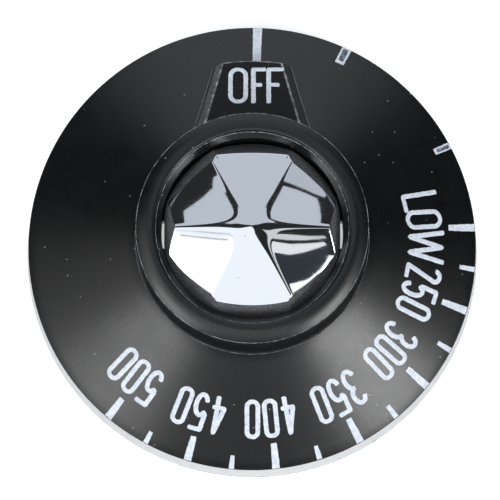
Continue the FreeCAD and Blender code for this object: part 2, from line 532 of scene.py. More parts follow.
def cap_rings(across, along):
    """The apex height, and rings of (radii, heights) from there over face and shoulder to the hollow."""
    def top_height(radius):
        x, y = radius * across, radius * along
        return soft_lower(face_height(x, y), shoulder_height(x, y), edge_softness)

    even = np.ones(CAP_SEGMENTS)
    flat_reach = end_flat / np.maximum(np.abs(across), least_share)
    edge, beyond = edge_search_start * even, cap_radius * even
    for _ in range(edge_search_steps):
        middle = (edge + beyond) / 2
        x, y = middle * across, middle * along
        inside = face_height(x, y) < shoulder_height(x, y)
        edge, beyond = np.where(inside, middle, edge), np.where(inside, beyond, middle)
    wall = np.minimum(cap_radius - cap_wall_inset, flat_reach)
    radii = [edge * step / FACE_RINGS for step in range(1, FACE_RINGS + 1)]
    radii += [edge + (wall - edge) * step / SHOULDER_RINGS for step in range(1, SHOULDER_RINGS + 1)]
    rings = [(radius, top_height(radius)) for radius in radii]
    rings.append((np.minimum(cap_foot_radius, flat_reach), floor_top * even))
    for radius, z in ((cap_bore, floor_top), (cap_bore, flute_edge_z - cap_face_wall),
                      (cap_crown_radius, apex_z - cap_crown_wall)):
        rings.append((radius * even, z * even))
    return float(top_height(0 * even)[0]), rings


def snap_leg(side):
    """Leg with an inward hook that goes down through a window in the floor."""
    inner = end_flat - leg_thickness
    outer = end_flat - cut_overlap
    root = floor_top + leg_root
    hook_top = floor_bottom - hook_gap
    tip = hook_top - hook_height
    web = [(inner, root), (inner, hook_top), (inner - hook_reach, hook_top), (inner, tip), (outer, tip),
           (outer, root)]
    leg = between("leg", [(side * x, -leg_half_width, z) for x, z in web],
                  [(side * x, leg_half_width, z) for x, z in web])
    empty_slots(leg, CAP_FINISHES)
    cleaned(leg, pi)
    for face in leg.data.polygons:
        face.material_index = SHOULDER
    return leg


def centre_cap():
    """Bright fluted plug with a black shoulder, hollow behind, on two snap legs."""
    angles = FULL_TURN * np.arange(CAP_SEGMENTS) / CAP_SEGMENTS
    across, along = np.cos(angles), np.sin(angles)
    top, rings = cap_rings(across, along)
    points = [(0, 0, top)]
    for radius, z in rings:
        points += list(zip(radius * across, radius * along, z))
    points.append((0, 0, apex_z - cap_crown_wall))
    faces = []
    for n in range(CAP_SEGMENTS):
        m = (n + 1) % CAP_SEGMENTS
        faces.append((0, 1 + n, 1 + m))
        for ring in range(len(rings) - 1):
            low = 1 + ring * CAP_SEGMENTS
            high = low + CAP_SEGMENTS
            faces.append((low + n, high + n, high + m, low + m))
        last = 1 + (len(rings) - 1) * CAP_SEGMENTS
        faces.append((last + n, len(points) - 1, last + m))
    plug = mesh_object("fluted_cap", points, faces)
    empty_slots(plug, CAP_FINISHES)
    faces_per_segment = len(rings) + 1
    for n, face in enumerate(plug.data.polygons):
        face.material_index = BRIGHT_FACE if n % faces_per_segment < FACE_RINGS else SHOULDER
    for side in (1, -1):
        combined(plug, snap_leg(side), "UNION")
    return plug


# Materials. Each pattern's scale is one over a real size in millimetres.

MATH = "ShaderNodeMath"
VECTOR_MATH = "ShaderNodeVectorMath"
COMBINE = "ShaderNodeCombineXYZ"
SEPARATE = "ShaderNodeSeparateXYZ"
NOISE = "ShaderNodeTexNoise"
RANGE = "ShaderNodeMapRange"
MIX = "ShaderNodeMix"
BUMP = "ShaderNodeBump"
PRINCIPLED = "ShaderNodeBsdfPrincipled"

LEVEL_ONLY = (1.0, 1.0, 0.0)
NOISE_MIDDLE = (0.5, 0.5, 0.5)
streaks_per_radian = 140.0
streak_length = 8.33


def colour(code):
    """Linear colour of an sRGB hex code."""
    parts = [int(code[n:n + 2], 16) / 255 for n in (1, 3, 5)]
    return [p / 12.92 if p <= 0.04045 else ((p + 0.055) / 1.055) ** 2.4 for p in parts] + [1.0]


def put(tree, kind, sockets=None, **settings):
    """Adds a node; a socket takes a value, an output, or a node that stands for its first live output."""
    made = tree.nodes.new(kind)
    for name, value in settings.items():
        setattr(made, name, value)
    for socket, value in (sockets or {}).items():
        if isinstance(value, bpy.types.Node):
            value = next(output for output in value.outputs if output.enabled)
        if isinstance(value, bpy.types.NodeSocket):
            tree.links.new(value, made.inputs[socket])
        else:
            made.inputs[socket].default_value = value
    return made


def new_material(name, surface, *looks):
    """Material whose surface is built in its tree by a function, from looks that differ by use."""
    made = bpy.data.materials.new(name)
    made.use_nodes = True
    made.node_tree.nodes.clear()
    shader = surface(made.node_tree, *looks)
    put(made.node_tree, "ShaderNodeOutputMaterial", {"Surface": shader})
    return made


def place_in_mm(tree):
    """Object coordinates in millimetres."""
    place = put(tree, "ShaderNodeTexCoord").outputs["Object"]
    return put(tree, VECTOR_MATH, {0: place, "Scale": 1 / MM}, operation="SCALE")


def two_tone(tree, pattern, low, high, first, second):
    """Colour that turns from the first to the second as a pattern rises from low to high."""
    share = put(tree, RANGE, {"Value": pattern, "From Min": low, "From Max": high})
    return put(tree, MIX, {"Factor": share, "A": first, "B": second}, data_type="RGBA")


def dotted(tree, place, spacing, dot, ground, dots):
    """Ground with sparse small dots; dot is a dot's radius as a share of the spacing."""
    soft_start = 0.7 * dot
    cells = put(tree, "ShaderNodeTexVoronoi", {"Vector": place, "Scale": 1 / spacing})
    return two_tone(tree, cells, soft_start, dot, dots, ground)


def axis_distance(tree, place):
    """Distance from the knob's axis."""
    level = put(tree, VECTOR_MATH, {0: place, 1: LEVEL_ONLY}, operation="MULTIPLY")
    return put(tree, VECTOR_MATH, {0: level}, operation="LENGTH")


def radial_streaks(tree, place):
    """Fine marks that run from the axis outwards; the seam of the angle lies under OFF."""
    parts = put(tree, SEPARATE, {0: place}).outputs
    behind = put(tree, MATH, {0: parts["Y"], 1: -1.0}, operation="MULTIPLY")
    angle = put(tree, MATH, {0: parts["X"], 1: behind}, operation="ARCTAN2")
    across = put(tree, MATH, {0: angle, 1: streaks_per_radian}, operation="MULTIPLY")
    along = put(tree, MATH, {0: axis_distance(tree, place), 1: streak_length}, operation="DIVIDE")
    rolled = put(tree, COMBINE, {"X": across, "Y": along})
    return put(tree, NOISE, {"Vector": rolled, "Scale": 1.0, "Detail": 3.0, "Roughness": 0.6})


def black_thermoset(tree):
    """Satin black moulding: broad soft sheen, faint rub marks and grain coarse enough to show, some dust."""
    place = place_in_mm(tree)
    mottle = put(tree, NOISE, {"Vector": place, "Scale": 1 / 3.333, "Detail": 3.0})
    streaks = radial_streaks(tree, place)
    grain = put(tree, NOISE, {"Vector": place, "Scale": 1 / 0.125})
    rubbed = put(tree, MATH, {0: mottle, 1: 0.35}, operation="MULTIPLY")
    rubbed = put(tree, MATH, {0: streaks, 1: 0.25, 2: rubbed}, operation="MULTIPLY_ADD")
    rubbed = put(tree, MATH, {0: grain, 1: 0.4, 2: rubbed}, operation="MULTIPLY_ADD")
    body = two_tone(tree, rubbed, 0.35, 0.65, colour("#070809"), colour("#0d0e0f"))
    dusty = dotted(tree, place, 2.0, 0.055, body, colour("#a2a4a8"))
    sheen = put(tree, RANGE, {"Value": rubbed, "From Min": 0.35, "From Max": 0.65,
                              "To Min": 0.26, "To Max": 0.32})
    height = put(tree, MATH, {0: streaks, 1: 0.25, 2: grain}, operation="MULTIPLY_ADD")
    relief = put(tree, BUMP, {"Strength": 0.14, "Distance": 0.02 * MM, "Height": height})
    return put(tree, PRINCIPLED, {"Base Color": dusty, "Roughness": sheen, "Normal": relief})


def edge_highlight_paint(tree):
    """Painted highlight on moulded edges: a broken pale line along each rounding, where light would catch it.
    """
    wear = put(tree, NOISE, {"Vector": place_in_mm(tree), "Scale": 1 / 0.7143, "Detail": 4.0,
                             "Roughness": 0.7})
    tone = two_tone(tree, wear, 0.42, 0.62, colour("#3c3d40"), colour("#a8aaae"))
    return put(tree, PRINCIPLED, {"Base Color": tone, "Roughness": 0.5})


def pad_face(tree):
    """Dull black top of the pad, moulded against a polished flat, with a little dust."""
    place = place_in_mm(tree)
    mottle = put(tree, NOISE, {"Vector": place, "Scale": 1 / 1.25, "Detail": 3.0})
    body = put(tree, MIX, {"Factor": mottle, "A": colour("#0b0c0d"), "B": colour("#131416")},
               data_type="RGBA")
    dusty = dotted(tree, place, 1.4286, 0.04, body, colour("#8a8c90"))
    sheen = put(tree, RANGE, {"Value": mottle, "From Min": 0.3, "From Max": 0.7,
                              "To Min": 0.5, "To Max": 0.6})
    return put(tree, PRINCIPLED, {"Base Color": dusty, "Roughness": sheen, "Specular IOR Level": 0.2})


def pad_wall(tree, dark, light):
    """Grainy wall of the pad, in lit and shaded copies for its two sides: a dark stripe of painted shade
    above its foot, and a thin broken pale line along the foot.
    """
    place = place_in_mm(tree)
    height = put(tree, SEPARATE, {0: place}).outputs["Z"]
    above = put(tree, MATH, {0: axis_distance(tree, place), 1: skirt_tangent, 2: height},
                operation="MULTIPLY_ADD")
    above = put(tree, MATH, {0: above, 1: skirt_z(0)}, operation="SUBTRACT")
    grain = put(tree, NOISE, {"Vector": place, "Scale": 1 / 0.3125, "Detail": 4.0, "Roughness": 0.75})
    tone = two_tone(tree, grain, 0.4, 0.6, colour(dark), colour(light))
    # Painted shade: the wall goes dark in a stripe just above its foot.
    tone = two_tone(tree, above, 0.5, 0.62, colour("#0b0c0d"), tone)
    broken = put(tree, RANGE, {"Value": grain, "From Min": 0.36, "From Max": 0.5, "To Min": 0.3})
    line = put(tree, RANGE, {"Value": above, "From Min": 0.12, "From Max": 0.18,
                             "To Min": 1.0, "To Max": 0.0})
    line = put(tree, MATH, {0: line, 1: broken}, operation="MULTIPLY")
    tone = put(tree, MIX, {"Factor": line, "A": tone, "B": colour("#7d7f82")}, data_type="RGBA")
    return put(tree, PRINCIPLED, {"Base Color": tone, "Roughness": 0.55, "Specular IOR Level": 0.2})


def bright_face(tree):
    """Metallised mirror with a few specks of dust, and hair scratches drawn wide enough to show."""
    place = place_in_mm(tree)
    hair_length, hair_width = 8.333, 0.2
    turned = put(tree, "ShaderNodeMapping", {"Vector": place, "Rotation": (0, 0, radians(-38)),
                                             "Scale": (1 / hair_length, 1 / hair_width, 1.0)})
    hairs = put(tree, NOISE, {"Vector": turned, "Scale": 1.0, "Detail": 4.0, "Roughness": 0.7})
    dusty = dotted(tree, place, 2.857, 0.03, colour("#d2d6db"), colour("#6c7076"))
    polish = put(tree, RANGE, {"Value": hairs, "From Min": 0.45, "From Max": 0.75,
                               "To Min": 0.03, "To Max": 0.075})
    return put(tree, PRINCIPLED, {"Base Color": dusty, "Metallic": 1.0, "Roughness": polish})


def shoulder_painted_grey(tree):
    """Unplated black edge of the cap, left grainy by the mould, painted mid grey as painted light for the
    light that hardly reaches it in the well.
    """
    place = place_in_mm(tree)
    grain = put(tree, NOISE, {"Vector": place, "Scale": 1 / 0.2222, "Detail": 3.0, "Roughness": 0.65})
    # Painted light: mid grey, lighter than the real black, for light that hardly reaches the shoulder in the
    # well.
    body = two_tone(tree, grain, 0.4, 0.6, colour("#48494c"), colour("#77787b"))
    body = dotted(tree, place, 0.909, 0.09, body, colour("#cfd0d2"))
    sheen = put(tree, RANGE, {"Value": grain, "From Min": 0.3, "From Max": 0.7,
                              "To Min": 0.4, "To Max": 0.55})
    relief = put(tree, BUMP, {"Strength": 0.5, "Distance": 0.04 * MM, "Height": grain})
    return put(tree, PRINCIPLED, {"Base Color": body, "Roughness": sheen, "Normal": relief})


def rim_paint(tree):
    """White paint rolled on the rim's side, chipped along its lower edge."""
    place = place_in_mm(tree)
    height = put(tree, SEPARATE, {0: place}).outputs["Z"]
    flakes = put(tree, NOISE, {"Vector": place, "Scale": 1 / 0.909, "Detail": 4.0, "Roughness": 0.6})
    worn = put(tree, MATH, {0: height, 1: -0.09, 2: flakes}, operation="MULTIPLY_ADD")
    clouds = put(tree, NOISE, {"Vector": place, "Scale": 1 / 2.0})
    film = put(tree, MIX, {"Factor": clouds, "A": colour("#d6d8db"), "B": colour("#eaecee")},
               data_type="RGBA")
    body = two_tone(tree, worn, 0.54, 0.57, film, colour("#1b1c1e"))
    relief = put(tree, BUMP, {"Strength": 0.3, "Distance": 0.03 * MM, "Height": flakes})
    return put(tree, PRINCIPLED, {"Base Color": body, "Roughness": 0.5, "Normal": relief})


def fill_paint(tree):
    """Bluish white paint wiped into the marks: uneven cover and tiny dark pits."""
    place = place_in_mm(tree)
    cover = put(tree, NOISE, {"Vector": place, "Scale": 1 / 0.625, "Detail": 3.0, "Roughness": 0.6})
    film = two_tone(tree, cover, 0.35, 0.65, colour("#d6e1ef"), colour("#f2f7ff"))
    body = dotted(tree, place, 0.7692, 0.07, film, colour("#3a3d42"))
    relief = put(tree, BUMP, {"Strength": 0.25, "Distance": 0.03 * MM, "Height": cover})
    return put(tree, PRINCIPLED, {"Base Color": body, "Roughness": 0.55, "Normal": relief})


def thin_paint(tree):
    """Paint nearly wiped away: grey film broken by black pits."""
    cover = put(tree, NOISE, {"Vector": place_in_mm(tree), "Scale": 1 / 0.3846, "Detail": 3.0,
                              "Roughness": 0.7})
    film = two_tone(tree, cover, 0.42, 0.54, colour("#0e0f10"), colour("#76818f"))
    return put(tree, PRINCIPLED, {"Base Color": film, "Roughness": 0.5})


def spring_strip(tree):
    """Rolled steel strip with streaks along its length."""
    streak_width, streak_run = 0.1111, 3.333
    along = put(tree, "ShaderNodeMapping", {"Vector": place_in_mm(tree), "Scale": (
        1 / streak_width, 1 / streak_width, 1 / streak_run)})
    streaks = put(tree, NOISE, {"Vector": along, "Scale": 1.0, "Detail": 3.0, "Roughness": 0.6})
    tone = put(tree, MIX, {"Factor": streaks, "A": colour("#8b8f95"), "B": colour("#b2b5ba")},
               data_type="RGBA")
    sheen = put(tree, RANGE, {"Value": streaks, "From Min": 0.3, "From Max": 0.7,
                              "To Min": 0.28, "To Max": 0.42})
    return put(tree, PRINCIPLED, {"Base Color": tone, "Metallic": 1.0, "Roughness": sheen})


# Painted marks

NUMBER = "NodeSocketFloat"
SHAPE = "NodeSocketGeometry"
film_half = 0.05
mark_sharp_angle = radians(40)


def new_tree(name, inputs):
    """Empty geometry nodes with named inputs of given kinds, and the sockets that bring them in."""
    tree = bpy.data.node_groups.new(name, "GeometryNodeTree")
    for label, kind in {"Geometry": SHAPE, **inputs}.items():
        tree.interface.new_socket(label, in_out="INPUT", socket_type=kind)
    tree.interface.new_socket("Geometry", in_out="OUTPUT", socket_type=SHAPE)
    return tree, put(tree, "NodeGroupInput").outputs


def painted(tree, given, shape, waves_per_mm, paint):
    """Ends a tree: plain mesh whose edges wander a little along the surface, in paint."""
    spot = put(tree, "GeometryNodeInputPosition")
    ragged = put(tree, NOISE, {"Vector": spot, "W": given["Seed"], "Scale": waves_per_mm / MM},
                 noise_dimensions="4D").outputs["Color"]
    ragged = put(tree, VECTOR_MATH, {0: ragged, 1: NOISE_MIDDLE}, operation="SUBTRACT")
    ragged = put(tree, VECTOR_MATH, {0: ragged, 1: LEVEL_ONLY}, operation="MULTIPLY")
    ragged = put(tree, VECTOR_MATH, {0: ragged, "Scale": given["Edge Wander"]}, operation="SCALE")
    shape = put(tree, "GeometryNodeRealizeInstances", {"Geometry": shape})
    shape = put(tree, "GeometryNodeSetPosition", {"Geometry": shape, "Offset": ragged})
    shape = put(tree, "GeometryNodeSetMaterial", {"Geometry": shape, "Material": paint})
    put(tree, "NodeGroupOutput", {"Geometry": shape})


def set_inputs(modifier, values):
    """Fills a modifier's inputs by the names of the tree's sockets."""
    for item in modifier.node_group.interface.items_tree:
        if item.in_out == "INPUT" and item.name in values:
            modifier[item.identifier] = values[item.name]


# Painted words

stroke_width = 0.65
stroke_wander = 0.16
stroke_waves_per_mm = 2.2
stroke_point_spacing = 0.07
stroke_sides = 14
stroke_end_power = 6.0
stroke_end_fullness = 1.05
bow_steps = 16
label_inner = 21.5
label_outer = 26.7
sign_widths = {"L": 2.6, "O": 2.75, "W": 4.9}
digit_width = 2.15
# Word, degrees clockwise from OFF, gap between its signs, shift outwards
scale_labels = (("LOW", 84.9, -0.08, 0.0), ("250", 106.4, 0.395, 0.05), ("300", 128.0, 0.395, 0.2),
                ("350", 151.0, 0.395, 0.45), ("400", 174.0, 0.395, 0.5), ("450", 197.1, 0.395, 0.5),
                ("500", 220.7, 0.395, 0.5))
off_middle_y = 21.7
off_height = 6.2
off_stroke = 0.64
off_first_seed = 40
# Sign, width, place of its middle to the right
off_signs = (("O", 2.75, -1.95), ("F", 2.1, 0.9), ("F", 2.45, 3.2))


def stroke_tree(paint):
    """Geometry nodes that sweep flat round-ended paint strokes along the splines of a glyph."""
    tree, given = new_tree("paint_strokes", dict.fromkeys(
        ("Stroke Width", "Film Half Thickness", "Edge Wander", "Seed"), NUMBER))
    half = put(tree, MATH, {0: given["Stroke Width"], 1: 0.5}, operation="MULTIPLY")
    path = put(tree, "GeometryNodeResampleCurve", {"Curve": given["Geometry"],
                                                   "Length": stroke_point_spacing * MM}, mode="LENGTH")
    path = put(tree, "GeometryNodeSetCurveNormal", {"Curve": path}, mode="Z_UP")
    gone = put(tree, "GeometryNodeSplineParameter").outputs["Length"]
    left = put(tree, MATH, {0: put(tree, "GeometryNodeSplineLength"), 1: gone}, operation="SUBTRACT")
    to_end = put(tree, MATH, {0: gone, 1: left}, operation="MINIMUM")
    reached = put(tree, MATH, {0: to_end, 1: half}, operation="DIVIDE", use_clamp=True)
    inward = put(tree, MATH, {0: 1.0, 1: reached}, operation="SUBTRACT")
    narrowed = put(tree, MATH, {0: inward, 1: stroke_end_power}, operation="POWER")
    full = put(tree, MATH, {0: stroke_end_fullness, 1: narrowed}, operation="SUBTRACT")
    full = put(tree, MATH, {0: full}, operation="SQRT")
    closed = put(tree, "GeometryNodeInputSplineCyclic")
    size = put(tree, "GeometryNodeSwitch", {"Switch": closed, "False": full, "True": 1.0}, input_type="FLOAT")
    ring = put(tree, "GeometryNodeCurvePrimitiveCircle", {"Resolution": stroke_sides, "Radius": 1.0})
    oval = put(tree, COMBINE, {"X": half, "Y": given["Film Half Thickness"], "Z": 1.0})
    ring = put(tree, "GeometryNodeTransform", {"Geometry": ring, "Scale": oval})
    ribbon = put(tree, "GeometryNodeCurveToMesh", {"Curve": path, "Profile Curve": ring, "Scale": size,
                                                   "Fill Caps": True})
    painted(tree, given, ribbon, stroke_waves_per_mm, paint)
    return tree


def bow(middle_x, middle_y, reach_x, reach_y, start, end):
    """Points of a bow of an ellipse, in degrees anticlockwise from the right."""
    turns = [radians(start + (end - start) * n / bow_steps) for n in range(bow_steps + 1)]
    return [(middle_x + reach_x * cos(turn), middle_y + reach_y * sin(turn)) for turn in turns]


def glyph_strokes(sign, wide, high, out):
    """Centre lines of a sign in its box; free ends run out by half a stroke, rings end as they start."""
    half = wide / 2
    ring = bow(half, high - half, half, half, 0, 180) + bow(half, half, half, half, 180, 360)
    waist = (0.4 * wide, 0.535 * high)
    return {
        "O": [ring + ring[:1]],
        "0": [ring + ring[:1]],
        "F": [[(wide + out, high), (0, high), (0, -out)], [(0, 0.52 * high), (0.84 * wide, 0.52 * high)]],
        "L": [[(0, high + out), (0, 0), (wide + out, 0)]],
        "W": [[(0, high + out), (0.25 * wide, 0), (0.5 * wide, high), (0.75 * wide, 0), (wide, high + out)]],
        "2": [bow(half, high - half, half, half, 185, -35) + [(0, 0), (wide + out, 0)]],
        "3": [bow(half, 0.765 * high, half, 0.235 * high, 165, -75) + [waist],
              [waist] + bow(half, 0.265 * high, half, 0.265 * high, 75, -165)],
        "4": [[(0.66 * wide, -out), (0.66 * wide, high), (0, 0.27 * high),
               (wide + 0.6 * out, 0.27 * high)]],
        "5": [[(wide + out, high), (0.08 * wide, high), (0, 0.56 * high)]
              + bow(half, 0.3 * high, half, 0.3 * high, 140, -160)],
    }[sign]


def glyph(sign, width, height, seat, tree, seed, stroke=stroke_width):
    """One painted sign, laid flat on its seat."""
    wide, high = width - stroke, height - stroke
    lines = bpy.data.curves.new("glyph", "CURVE")
    lines.dimensions = "3D"
    for points in glyph_strokes(sign, wide, high, stroke / 2):
        closed = points[0] == points[-1]
        points = points[:-1] if closed else points
        line = lines.splines.new("POLY")
        line.points.add(len(points) - 1)
        for spot, (x, y) in zip(line.points, points):
            spot.co = ((x - wide / 2) * MM, (y - high / 2) * MM, 0, 1)
        line.use_cyclic_u = closed
    made = bpy.data.objects.new("glyph", lines)
    bpy.context.scene.collection.objects.link(made)
    step = made.modifiers.new("strokes", "NODES")
    step.node_group = tree
    set_inputs(step, {"Stroke Width": stroke * MM, "Film Half Thickness": film_half * MM,
                      "Edge Wander": stroke_wander * MM, "Seed": float(seed)})
    made = settled(made)
    made.data.transform(seat)
    return made


def seat_on_slope(angle, radius, z, slope):
    """Place on a face that falls outwards, by its angle from OFF: x clockwise, y outwards, z off the face."""
    right = Vector((cos(angle), -sin(angle), 0))
    out = Vector((sin(angle) * cos(slope), cos(angle) * cos(slope), -sin(slope)))
    turn = Matrix((right, out, right.cross(out))).transposed().to_4x4()
    return Matrix.Translation(Vector((sin(angle) * radius, cos(angle) * radius, z)) * MM) @ turn


def scale_words(tree):
    """LOW and the numbers, each sign laid along the skirt."""
    height = (label_outer - label_inner) / cos(skirt_angle)
    signs = []
    for word, middle, sign_gap, outward in scale_labels:
        radius = (label_inner + label_outer) / 2 + outward
        widths = [sign_widths.get(sign, digit_width) for sign in word]
        way = -(sum(widths) + sign_gap * (len(word) - 1)) / 2
        for sign, width in zip(word, widths):
            angle = radians(middle) + (way + width / 2) / radius
            seat = seat_on_slope(angle, radius, skirt_z(radius), skirt_angle)
            signs.append(glyph(sign, width, height, seat, tree, len(signs)))
            way += width + sign_gap
    return joined("scale_words", signs)


def off_word(tree):
    """OFF on the pad's sloping top."""
    middle = seat_on_slope(0.0, off_middle_y, pad_top_z(off_middle_y), pad_slope)
    signs = []
    for sign, width, x in off_signs:
        seat = Matrix.Translation((x * MM, 0, 0)) @ middle
        signs.append(glyph(sign, width, off_height, seat, tree, off_first_seed + len(signs), off_stroke))
    return joined("off_word", signs)


# Painted ticks

tick_outer = 31.2
tick_wander = 0.2
tick_waves_per_mm = 1.8
tick_points_across = 7
tick_points_along = 30
first_tick_angle = 25.3
first_tick_step = 37.3
worn_tick_outer = 31.0
worn_film_half = 1.3 * film_half


def tick_tree(paint):
    """Geometry nodes that set a row of painted ticks on the skirt, long and short in turn."""
    tree, given = new_tree("scale_ticks", {"Count": "NodeSocketInt", **dict.fromkeys(
        ("First Angle", "Step", "Step Growth", "Outer Radius", "Long Inner Radius", "Short Inner Radius",
         "Inner Growth", "Long Width", "Short Width", "Film Half Thickness", "Flare", "Edge Wander",
         "Seed"), NUMBER)})
    number = put(tree, "GeometryNodeInputIndex")
    odd = put(tree, MATH, {0: number, 1: 2.0}, operation="FLOORED_MODULO")
    growing = put(tree, MATH, {0: given["Step Growth"], 1: number, 2: given["Step"]},
                  operation="MULTIPLY_ADD")
    angle = put(tree, MATH, {0: growing, 1: number, 2: given["First Angle"]}, operation="MULTIPLY_ADD")
    inner = put(tree, MIX, {"Factor": odd, "A": given["Long Inner Radius"], "B": given["Short Inner Radius"]})
    inner = put(tree, MATH, {0: given["Inner Growth"], 1: number, 2: inner}, operation="MULTIPLY_ADD")
    middle = put(tree, MIX, {"Factor": 0.5, "A": inner, "B": given["Outer Radius"]})
    level_length = put(tree, MATH, {0: given["Outer Radius"], 1: inner}, operation="SUBTRACT")
    length = put(tree, MATH, {0: level_length, 1: cos(skirt_angle)}, operation="DIVIDE")
    height = put(tree, MATH, {0: middle, 1: -skirt_tangent, 2: skirt_z(0) * MM}, operation="MULTIPLY_ADD")
    sine = put(tree, MATH, {0: angle}, operation="SINE")
    cosine = put(tree, MATH, {0: angle}, operation="COSINE")
    spot = put(tree, COMBINE, {"X": put(tree, MATH, {0: sine, 1: middle}, operation="MULTIPLY"),
                               "Y": put(tree, MATH, {0: cosine, 1: middle}, operation="MULTIPLY"),
                               "Z": height})
    row = put(tree, "GeometryNodePoints", {"Count": given["Count"], "Position": spot})
    slab = put(tree, "GeometryNodeMeshCube", {"Size": (1.0, 1.0, 2.0), "Vertices X": tick_points_across,
                                              "Vertices Y": tick_points_along, "Vertices Z": 2})
    parts = put(tree, SEPARATE, {0: put(tree, "GeometryNodeInputPosition")}).outputs
    widening = put(tree, MATH, {0: parts["X"], 1: parts["Y"]}, operation="MULTIPLY")
    widening = put(tree, MATH, {0: widening, 1: given["Flare"]}, operation="MULTIPLY")
    widening = put(tree, COMBINE, {"X": widening})
    slab = put(tree, "GeometryNodeSetPosition", {"Geometry": slab, "Offset": widening})
    width = put(tree, MIX, {"Factor": odd, "A": given["Long Width"], "B": given["Short Width"]})
    size = put(tree, COMBINE, {"X": width, "Y": length, "Z": given["Film Half Thickness"]})
    turn = put(tree, MATH, {0: angle, 1: -1.0}, operation="MULTIPLY")
    lean = put(tree, COMBINE, {"X": -skirt_angle, "Z": turn})
    lean = put(tree, "FunctionNodeEulerToRotation", {0: lean})
    ticks = put(tree, "GeometryNodeInstanceOnPoints", {"Points": row, "Instance": slab, "Rotation": lean,
                                                       "Scale": size})
    painted(tree, given, ticks, tick_waves_per_mm, paint)
    return tree


def tick_row(name, tree, count, first, step, inner, width, flare, seed, step_growth=0.0, inner_growth=0.0,
             outer=tick_outer, film=film_half):
    """Ticks at angles in degrees; inner and width are pairs, for the long ticks and the short ones."""
    made = mesh_object(name, [], [])
    work = made.modifiers.new("ticks", "NODES")
    work.node_group = tree
    set_inputs(work, {"Count": count, "First Angle": radians(first), "Step": radians(step),
                      "Step Growth": radians(step_growth), "Outer Radius": outer * MM,
                      "Long Inner Radius": inner[0] * MM, "Short Inner Radius": inner[1] * MM,
                      "Inner Growth": inner_growth * MM, "Long Width": width[0] * MM,
                      "Short Width": width[1] * MM, "Film Half Thickness": film * MM, "Flare": flare,
                      "Edge Wander": tick_wander * MM, "Seed": float(seed)})
    return settled(made)


# Pieces

rim_side_inset = 0.1
upright_facing = 0.3

dial = dial_body()
dial_finishes = (new_material("moulded_black_thermoset", black_thermoset),
                 new_material("chipped_white_rim_paint", rim_paint),
                 new_material("painted_edge_highlight", edge_highlight_paint),
                 new_material("dull_black_pad_face", pad_face),
                 # Lit and shaded copies of one wall: the left side painted lighter, the right side darker.
                 new_material("lit_left_pad_wall", pad_wall, "#242527", "#67696c"),
                 new_material("shaded_right_pad_wall", pad_wall, "#0c0d0e", "#1a1b1d"))
for slot, finish in enumerate(dial_finishes):
    dial.data.materials[slot] = finish
for face in dial.data.polygons:
    middle = face.center / MM
    out = hypot(middle.x, middle.y)
    if out > front_radius - rim_side_inset and abs(face.normal.z) < upright_facing:
        face.material_index = RIM_SIDE
    # Painted highlight on the rounded edges of the collar and of the land at its foot.
    if on_highlit_ring(out, middle.z):
        face.material_index = EDGE_HIGHLIGHT_FINISH
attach(dial, "root")
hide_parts("dial_body")

cap = centre_cap()
cap.data.materials[BRIGHT_FACE] = new_material("metallised_bright_face", bright_face)
# The shoulder's finish is painted mid grey, standing in for light in the well.
cap.data.materials[SHOULDER] = new_material("grainy_shoulder_painted_light", shoulder_painted_grey)
cleaned(cap, cap_sharp_angle)
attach(cap, "root")
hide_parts("centre_cap")

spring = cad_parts["shaft_spring"]
spring.data.materials.clear()
spring.data.materials.append(new_material("rolled_spring_strip", spring_strip))

white_paint = new_material("wiped_white_fill_paint", fill_paint)
worn_paint = new_material("worn_thin_paint", thin_paint)
strokes = stroke_tree(white_paint)
ticks = tick_tree(white_paint)
marks = [scale_words(strokes), off_word(strokes),
         tick_row("scale_ticks", ticks, count=13, first=85.0, step=10.85, inner=(27.45, 29.0),
                  width=(0.95, 0.66), flare=0.3, seed=1, step_growth=0.0325, inner_growth=0.05),
         tick_row("first_ticks", ticks, count=2, first=first_tick_angle, step=first_tick_step,
                  inner=(28.6, 28.75), width=(1.35, 0.95), flare=0.1, seed=2),
         tick_row("first_tick_wear", tick_tree(worn_paint), count=2, first=first_tick_angle,
                  step=first_tick_step, inner=(29.05, 29.1), width=(0.75, 0.5), flare=0.1, seed=4,
                  outer=worn_tick_outer, film=worn_film_half),
         tick_row("off_tick", ticks, count=1, first=1.4, step=0.0, inner=(25.65, 25.65), width=(1.2, 1.2),
                  flare=0.1, seed=3)]
for mark in marks:
    cleaned(mark, mark_sharp_angle)
    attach(mark, "root")


# Floor, light and camera

floor_reach = 3000.0
floor_z = -0.02
floor_glow = 0.55
sky_tint = "#e8eef6"
card_height = 1000
haze_height = 1010
fold_height = 990
lamp_height = 995


def pale_paper(tree):
    """Pale matte paper that looks white to the eye and in mirrors, and still takes the knob's shadow."""
    path = put(tree, "ShaderNodeLightPath").outputs
    seen = put(tree, MATH, {0: path["Is Camera Ray"], 1: path["Is Glossy Ray"]}, operation="MAXIMUM")
    seen = put(tree, MATH, {0: seen, 1: path["Is Transmission Ray"]}, operation="MAXIMUM")
    strength = put(tree, MATH, {0: seen, 1: floor_glow}, operation="MULTIPLY")
    glow = put(tree, "ShaderNodeEmission", {"Strength": strength})
    matte = put(tree, "ShaderNodeBsdfDiffuse", {"Color": colour("#e8e8e8")})
    return put(tree, "ShaderNodeAddShader", {0: glow, 1: matte})


def lit_cloth(tree, tint, strength):
    """Cloth lit from behind: an even soft glow."""
    return put(tree, "ShaderNodeEmission", {"Color": colour(tint), "Strength": strength})


def black_cloth(tree):
    """Matte black cloth that gives back almost no light."""
    return put(tree, "ShaderNodeBsdfDiffuse", {"Color": colour("#050505")})


def floor_plane():
    """Wide floor just under the knob."""
    corners = [(-1, -1), (1, -1), (1, 1), (-1, 1)]
    made = mesh_object("floor", [(x * floor_reach, y * floor_reach, floor_z) for x, y in corners],
                       [(0, 1, 2, 3)])
    made.data.materials.append(new_material("pale_paper", pale_paper))


